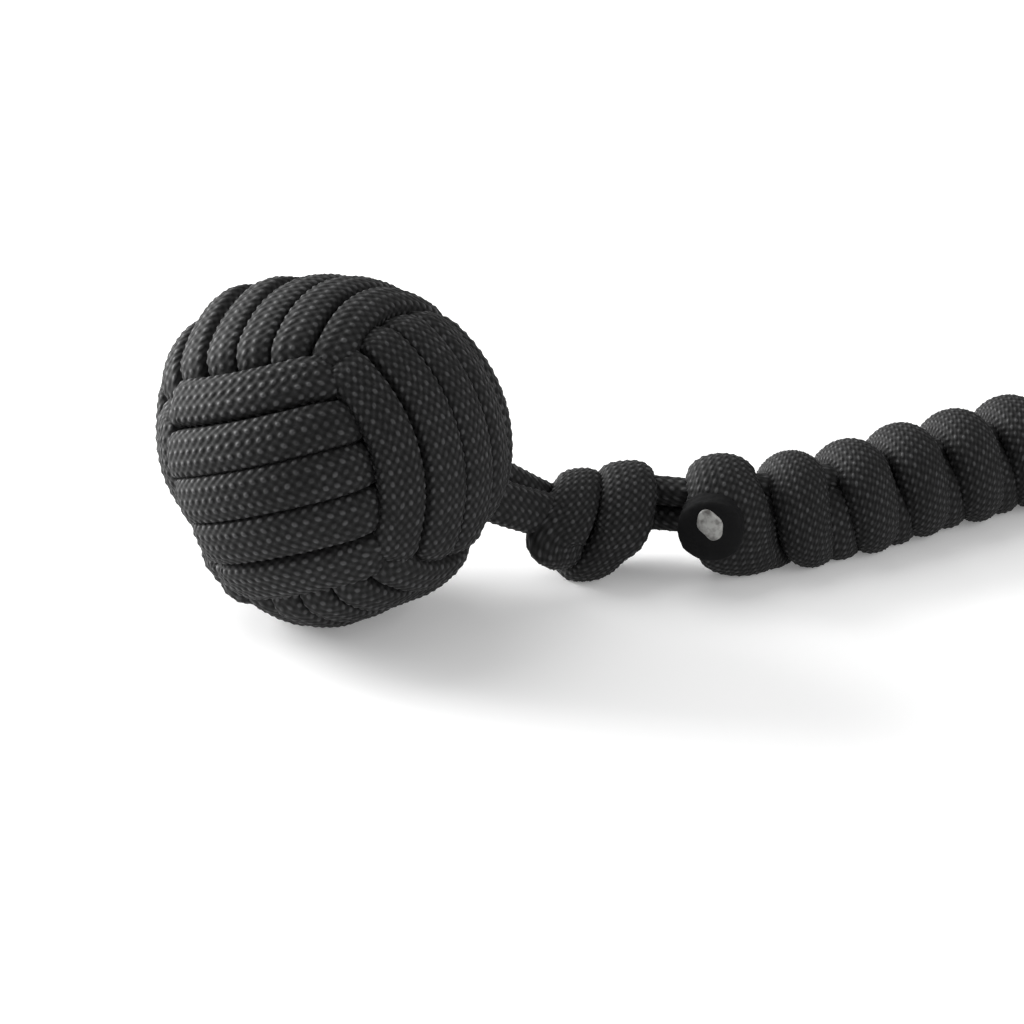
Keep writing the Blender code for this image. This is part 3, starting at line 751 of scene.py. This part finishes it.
# The stopper knot
# The pair is tied round itself once and pulled down hard. From outside it reads as two fat lobes that lean
# the same way and close up underneath, the second over the first.
KNOT_LENGTH = 15.0
LOBE_STATIONS = (
    # degrees round, along from the knot's middle, radius, width
    (-75.0, 3.2, 2.4, 3.4),
    (-30.0, 4.6, 4.0, 4.8),
    (30.0, 5.0, 4.3, 5.6),
    (68.0, 4.6, 4.2, 6.2),
    (110.0, 4.1, 4.4, 6.3),
    (145.0, 3.3, 4.75, 6.3),
    (177.0, 2.2, 4.8, 6.2),
    (200.0, 0.8, 4.85, 5.0),
    (225.0, -0.3, 4.85, 5.0),
    (260.0, -1.3, 4.8, 4.8),
    (320.0, -1.0, 4.5, 5.1),
    (380.0, -0.6, 4.1, 5.3),
    (428.0, -0.6, 3.85, 5.3),
    (470.0, -1.6, 4.1, 5.4),
    (505.0, -3.2, 4.55, 5.9),
    (535.0, -4.9, 4.6, 6.8),
    (560.0, -4.3, 4.2, 5.3),
    (585.0, -3.4, 3.4, 3.9),
    (610.0, -3.0, 2.6, 3.8),
    (650.0, -3.3, 2.1, 3.8),
    (695.0, -4.0, 2.0, 3.2),
)
LOBE_THICKNESS = 3.9
LOBE_SQUARENESS = 2.5
LOBE_ANGLE_STEP = 2.2
KNOT_STRAND_SET_BACK = 3.2
KNOT_STRAND_HANDLE = 3.0
KNOT_STRAND_STEPS = 60


def through_stations(stations, value):
    """The other values at a value of the first column, on a smooth curve through the stations."""
    last = len(stations) - 2
    index = 0
    while index < last and value > stations[index + 1][0]:
        index += 1
    near, far = stations[index], stations[index + 1]
    before = stations[max(index - 1, 0)]
    after = stations[min(index + 2, len(stations) - 1)]
    span = far[0] - near[0]
    share = (value - near[0]) / span
    found = []
    for column in range(1, len(near)):
        rise_near = (far[column] - before[column]) / (far[0] - before[0]) * span
        rise_far = (after[column] - near[column]) / (after[0] - near[0]) * span
        found.append((2 * share ** 3 - 3 * share ** 2 + 1) * near[column]
                     + (share ** 3 - 2 * share ** 2 + share) * rise_near
                     + (3 * share ** 2 - 2 * share ** 3) * far[column]
                     + (share ** 3 - share ** 2) * rise_far)
    return found


knot_start = knot_end - AHEAD * KNOT_LENGTH
knot_middle = (knot_start + knot_end) / 2
points = []
angle = LOBE_STATIONS[0][0]
while angle < LOBE_STATIONS[-1][0]:
    along, radius, width = through_stations(LOBE_STATIONS, angle)
    outward = round_the_pair(angle, 1)
    points.append((knot_middle + AHEAD * along + outward * radius, outward, width, LOBE_THICKNESS))
    angle += LOBE_ANGLE_STEP
lobes = lay_cord("stopper_knot_lobes", points, squareness=LOBE_SQUARENESS, sides=60,
                 fine_share=WOUND_FINE_SHARE, fineness=WOUND_FINENESS)
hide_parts("knot_lobes")
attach(lobes, "knot")
handle = AHEAD * KNOT_STRAND_HANDLE
for half, side in STRANDS:
    lift = strand_lift(side)
    route = bend_between(knot_start + lift + AHEAD * KNOT_STRAND_SET_BACK, handle,
                         knot_end + lift, handle, KNOT_STRAND_STEPS)
    inner = lay_strand("knot_" + half, route, "knot_strand_" + half)
    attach(inner, "knot")


# The neck
# The cord's two ends leave the fist at one corner and run side by side into the stopper knot, one behind the
# other. They stay full and round here, because nothing presses on them.

# The fist's turn about X, then Y, then Z, and the corner of it, in its own axes, that the ends leave at
FIST_TILT = (19.8, -4.6, -135.1)
NECK_CORNER = (-1, 1, -1)
NECK_REACH = 19.2
NECK_SINK = 2.2
NECK_LIFT = 2.5
NECK_KNOT_LIFT = 0.9
NECK_KNOT_TUCK = 5.2
NECK_HANDLE = 1.8
NECK_SPREAD = Vector((0, 1.7, 0.9))
NECK_KNOT_SPREAD = Vector((0, 1.6, -0.1))
NECK_THICKNESS = 4.9
NECK_WIDTH = 3.5
NECK_STEPS = 60
fist_turn = Matrix.Identity(3)
for degrees_round, axis in zip(FIST_TILT, "XYZ"):
    fist_turn = Matrix.Rotation(radians(degrees_round), 3, axis) @ fist_turn
leaving = (fist_turn @ Vector(NECK_CORNER)).normalized()
for half, side in STRANDS:
    start = fist_centre + leaving * (NECK_REACH - NECK_SINK) + NECK_SPREAD * side + RISE * NECK_LIFT
    end = knot_start + NECK_KNOT_SPREAD * side + RISE * NECK_KNOT_LIFT + AHEAD * NECK_KNOT_TUCK
    route = bend_between(start, leaving * NECK_HANDLE, end, AHEAD * NECK_HANDLE, NECK_STEPS)
    neck = lay_strand("neck_" + half, route, "neck_strand_" + half, NECK_THICKNESS, NECK_WIDTH)
    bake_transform(neck)


# The fist
# One cord goes round a steel ball in two sets of five turns and one of six, which lies over the top. Each
# set passes over one neighbour and under the other. It is a soft 4 mm nylon cord, pulled tight by hand, so
# each turn lies flat and presses on the next, and the whole is a little out of round.
FIST_TURNS = 5
FIST_TOP_TURNS = 6
FIST_INNER_RADIUS = 14.45
FIST_OUTER_RADIUS = 17.5
FIST_PANEL_WIDTH = 24.1
FIST_CROWDING = 0.42
FIST_THICKNESS = 3.15
FIST_SQUARENESS = 2.85
FIST_ROW_SHIFT = 1 / 12
FIST_FINE_SHARE = 0.78
FIST_SEEN_STEP = 0.144
FIST_HIDDEN_STEP = 2.2
# Degrees from a panel's middle at which its turns dive under the next set and are pinched there
DIVE_START = 37.0
DIVE_END = 54.0
PINCH_START = 28.0
PINCH_END = 75.0
PINCH_SHARE = 0.71
HIDDEN_WIDTH_SHARE = 0.64
LEFT_PANEL_WIDER = 3.7
LEFT_DIVE_EARLIER = 11.0
EARLIER_FROM = 10.0
EARLIER_IN_FULL = 40.0
DRIFT_SHARE_OF_TURN = 0.11
# Where the fist stands proud of a ball or falls short of it: way from the middle, how far, reach in degrees
OUT_OF_ROUND = (
    ((-0.758, 0.377, 0.532), 1.35, 23.0),
    ((-0.553, 0.415, 0.727), 0.5, 16.0),
    ((-0.383, 0.419, 0.823), 0.95, 10.5),
    ((-0.913, 0.303, 0.274), -0.35, 14.0),
    ((-0.905, 0.020, -0.420), -2.6, 20.0),
    ((-0.708, -0.139, -0.692), 2.1, 9.0),
    ((-0.575, -0.215, -0.789), -1.1, 11.0),
    ((0.345, -0.419, -0.840), -1.4, 22.0),
    ((0.583, -0.410, -0.700), 0.6, 13.0),
    ((0.801, -0.362, -0.475), -1.9, 12.0),
    ((0.949, -0.101, 0.232), 0.25, 24.0),
)


def between(start, end, value):
    """How far a value has come between two others, from 0 to 1, with no corner at either end."""
    return smooth((value - start) / (end - start))


def fist_offset(turns_done, turns_in_all):
    """Place across the panel, in turns from its middle, after a number of turns."""
    turn = int(turns_done + 0.5)
    drift = turns_done - turn
    crossing = smooth((drift + DRIFT_SHARE_OF_TURN) / (2 * DRIFT_SHARE_OF_TURN))
    return turn - 1 + crossing - (turns_in_all - 1) / 2


def proud(way):
    """How far the fist stands proud of a ball in some way from its middle, in millimetres."""
    total = 0.0
    for middle, height, reach in OUT_OF_ROUND:
        total += height * exp(-(way.angle(Vector(middle)) / radians(reach)) ** 2)
    return total


def fist_turns(turns_in_all, wider, earlier):
    """One set of turns round Z, on top at the X sides and beneath at the Y sides. Its panel at -X may be
    wider towards Z, and its turns may dive some degrees earlier at the -Y end of the panel at X."""
    full_pitch = FIST_PANEL_WIDTH / turns_in_all
    full_width = full_pitch + FIST_CROWDING
    points = []
    angle = -90.0
    while angle <= turns_in_all * 360 - 90:
        from_panel = abs((angle + 90) % 180 - 90)
        from_x = (angle + 180) % 360 - 180
        if -90 < from_x < 0:
            from_panel += earlier * between(EARLIER_FROM, EARLIER_IN_FULL, from_panel)
        level = 1 - between(DIVE_START, DIVE_END, from_panel)
        spread = 1 - between(PINCH_START, PINCH_END, from_panel)
        radius = FIST_INNER_RADIUS + (FIST_OUTER_RADIUS - FIST_INNER_RADIUS) * level
        pitch = full_pitch * (PINCH_SHARE + (1 - PINCH_SHARE) * spread)
        wide = wider * max(-cos(radians(angle)), 0)
        offset = fist_offset((angle + 90) / 360, turns_in_all) * (pitch + wide / turns_in_all) + wide / 2
        across = sqrt(radius ** 2 - offset ** 2)
        place = Vector((across * cos(radians(angle)), across * sin(radians(angle)), offset))
        width = full_width * (HIDDEN_WIDTH_SHARE + (1 - HIDDEN_WIDTH_SHARE) * spread) + wide / turns_in_all
        points.append((place, place.normalized(), width, FIST_THICKNESS))
        angle += FIST_SEEN_STEP * turns_in_all if from_panel < DIVE_END else FIST_HIDDEN_STEP
    return points


third_of_a_turn = Matrix.Rotation(radians(120), 3, Vector((1, 1, 1)))
panel_turn = fist_turn
for node, turns_in_all, wider, earlier in (("first_turns", FIST_TURNS, 0.0, LEFT_DIVE_EARLIER),
                                           ("second_turns", FIST_TURNS, LEFT_PANEL_WIDER, 0.0),
                                           ("third_turns", FIST_TOP_TURNS, 0.0, 0.0)):
    placed = []
    for place, out, width, thickness in fist_turns(turns_in_all, wider, earlier):
        way = panel_turn @ out
        placed.append((fist_centre + panel_turn @ place + way * proud(way), way, width, thickness))
    turns = lay_cord("fist_" + node, placed, FIST_SQUARENESS, FIST_ROW_SHIFT, sides=52,
                     fine_share=FIST_FINE_SHARE)
    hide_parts(node)
    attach(turns, "ball")
    panel_turn = panel_turn @ third_of_a_turn


# The steel ball
# A bearing ball sits in the middle of the fist and gives it its weight. The turns hide it all round, so the
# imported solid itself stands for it, with a material of its own.

# Bearing steel: hardened chrome steel, ground and polished, so it is bright and faintly grey
BALL_STEEL = "C3C4C6"
HAZE_SIZE = 4.0
POLISH = (0.12, 0.28)
bearing_steel, tree, output = new_material("polished_bearing_steel")
spot = add_node(tree, "ShaderNodeTexCoord")
haze = add_node(tree, "ShaderNodeTexNoise",
                Vector=spot.outputs["Object"], Scale=1 / (HAZE_SIZE * MM), Detail=4.0)
polish = add_node(tree, "ShaderNodeMapRange", _0=haze.outputs[0], _3=POLISH[0], _4=POLISH[1])
steel = add_node(tree, "ShaderNodeBsdfPrincipled", Metallic=1.0, Base_Color=to_linear(BALL_STEEL),
                 Roughness=polish.outputs[0])
tree.links.new(steel.outputs[0], output.inputs["Surface"])
for surface in bpy.data.objects["steel_ball"].material_slots:
    surface.material = bearing_steel
